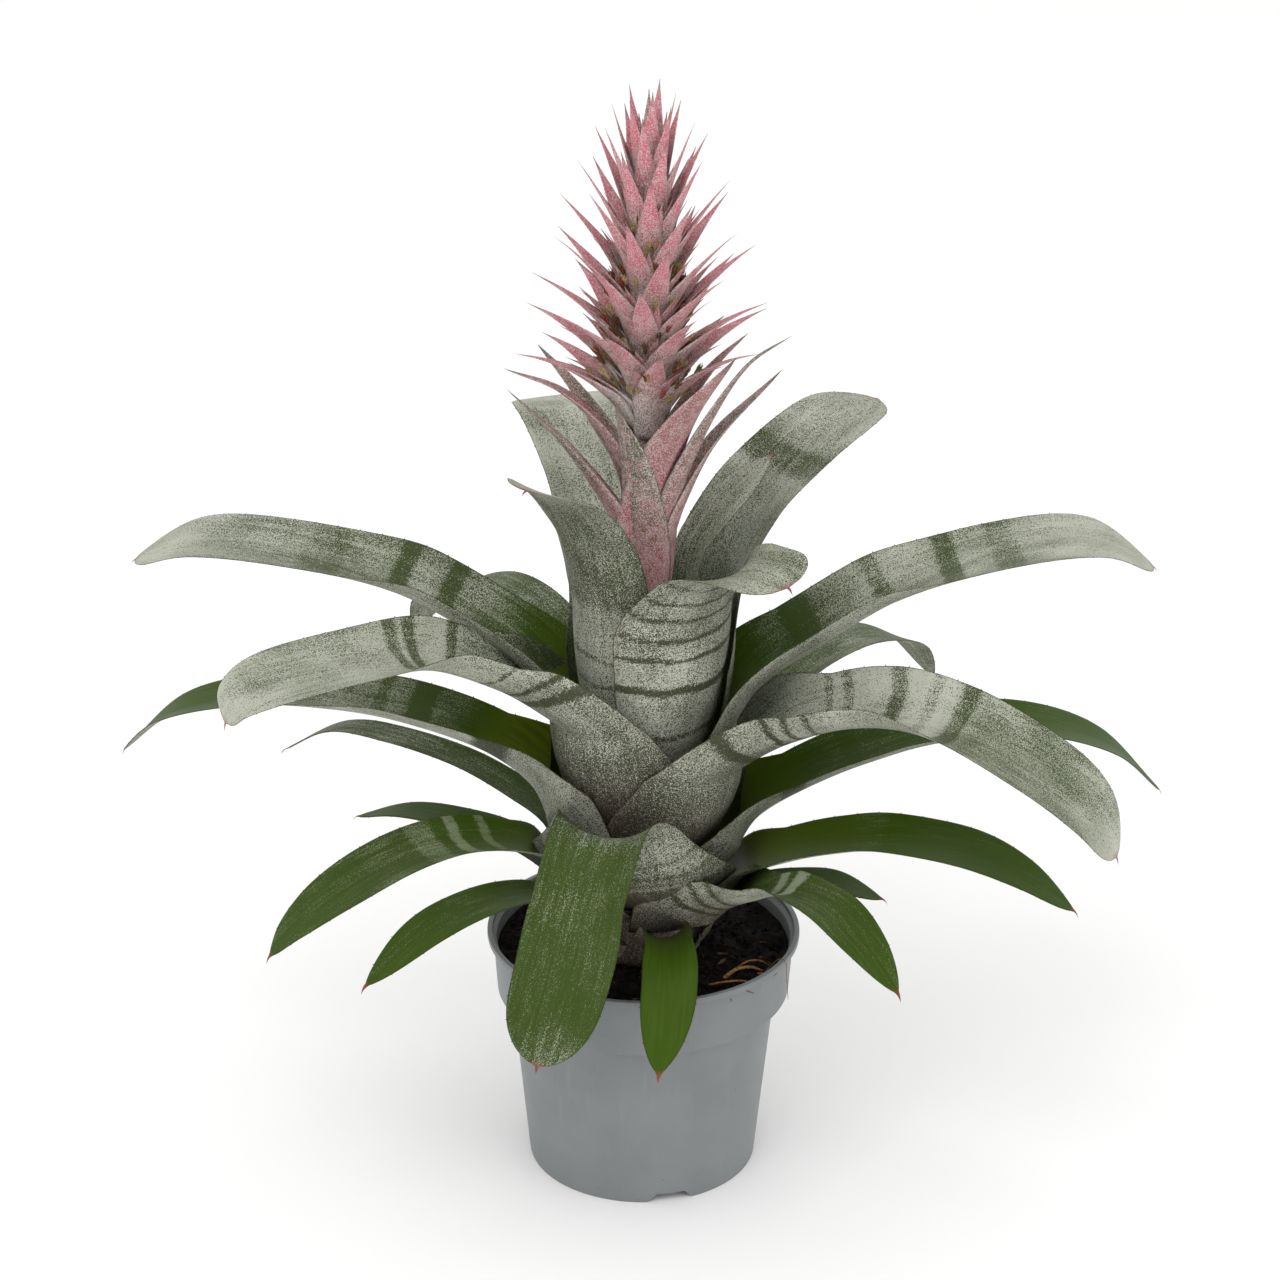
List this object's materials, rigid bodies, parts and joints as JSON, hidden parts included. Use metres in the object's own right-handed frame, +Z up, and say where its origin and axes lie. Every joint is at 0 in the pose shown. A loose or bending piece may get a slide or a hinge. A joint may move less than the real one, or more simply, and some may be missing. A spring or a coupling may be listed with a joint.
{
  "type": "potted bromeliad",
  "caption": "Silver-leaved urn plant: a rosette of arching strap leaves round a pink bract spike, growing in soil in a round plastic nursery pot.",
  "frame": {"origin": "middle of the underside of the pot, on the surface it stands on", "axes": "+Z up along the pot's axis; -Y towards the front of the plant; +X to the right seen from the front"},
  "size_m": [0.4377, 0.2573, 0.4653],
  "materials": {
    "grey_plastic": "satin moulded plastic",
    "dark_soil": "rough damp peat with bark fibres",
    "pale_stem": "matt scurfy living stem",
    "silver_leaf": "leathery green under silvery scales, banded",
    "pink_bract": "papery pink under grey-white scales"
  },
  "bodies": {
    "root": {"flower_bract_01": "pink_bract", "flower_bract_02": "pink_bract", "flower_bract_03": "pink_bract", "flower_bract_04": "pink_bract", "flower_bract_05": "pink_bract", "flower_bract_06": "pink_bract", "flower_bract_07": "pink_bract", "flower_bract_08": "pink_bract", "flower_bract_09": "pink_bract", "flower_bract_10": "pink_bract", "flower_bract_11": "pink_bract", "flower_bract_12": "pink_bract", "flower_bract_13": "pink_bract", "flower_bract_14": "pink_bract", "flower_bract_15": "pink_bract", "flower_bract_16": "pink_bract", "flower_bract_17": "pink_bract", "flower_bract_18": "pink_bract", "flower_bract_19": "pink_bract", "flower_bract_20": "pink_bract", "flower_bract_21": "pink_bract", "flower_bract_22": "pink_bract", "flower_bract_23": "pink_bract", "flower_bract_24": "pink_bract", "flower_bract_25": "pink_bract", "flower_bract_26": "pink_bract", "flower_tip": "pink_bract", "leaf_back_left": "silver_leaf", "leaf_back_left_short": "silver_leaf", "leaf_back_left_tall": "silver_leaf", "leaf_back_left_thin": "silver_leaf", "leaf_back_right_tall": "silver_leaf", "leaf_back_right_thin": "silver_leaf", "leaf_front_hanging": "silver_leaf", "leaf_front_left_short": "silver_leaf", "leaf_front_left_urn": "silver_leaf", "leaf_front_right": "silver_leaf", "leaf_front_short": "silver_leaf", "leaf_front_urn": "silver_leaf", "leaf_left_lower": "silver_leaf", "leaf_left_middle": "silver_leaf", "leaf_left_rear": "silver_leaf", "leaf_left_upper": "silver_leaf", "leaf_right_inner": "silver_leaf", "leaf_right_lower": "silver_leaf", "leaf_right_middle": "silver_leaf", "leaf_right_rear": "silver_leaf", "leaf_right_short": "silver_leaf", "leaf_right_upper": "silver_leaf", "pot": "grey_plastic", "soil": "dark_soil", "stalk_bract_back_left": "pink_bract", "stalk_bract_back_right": "pink_bract", "stalk_bract_front": "pink_bract", "stalk_bract_front_right": "pink_bract", "stalk_bract_left": "pink_bract", "stalk_bract_left_upper": "pink_bract", "stalk_bract_right": "pink_bract", "stalk_bract_right_outer": "pink_bract", "stem": "pale_stem"}
  },
  "joints": []
}
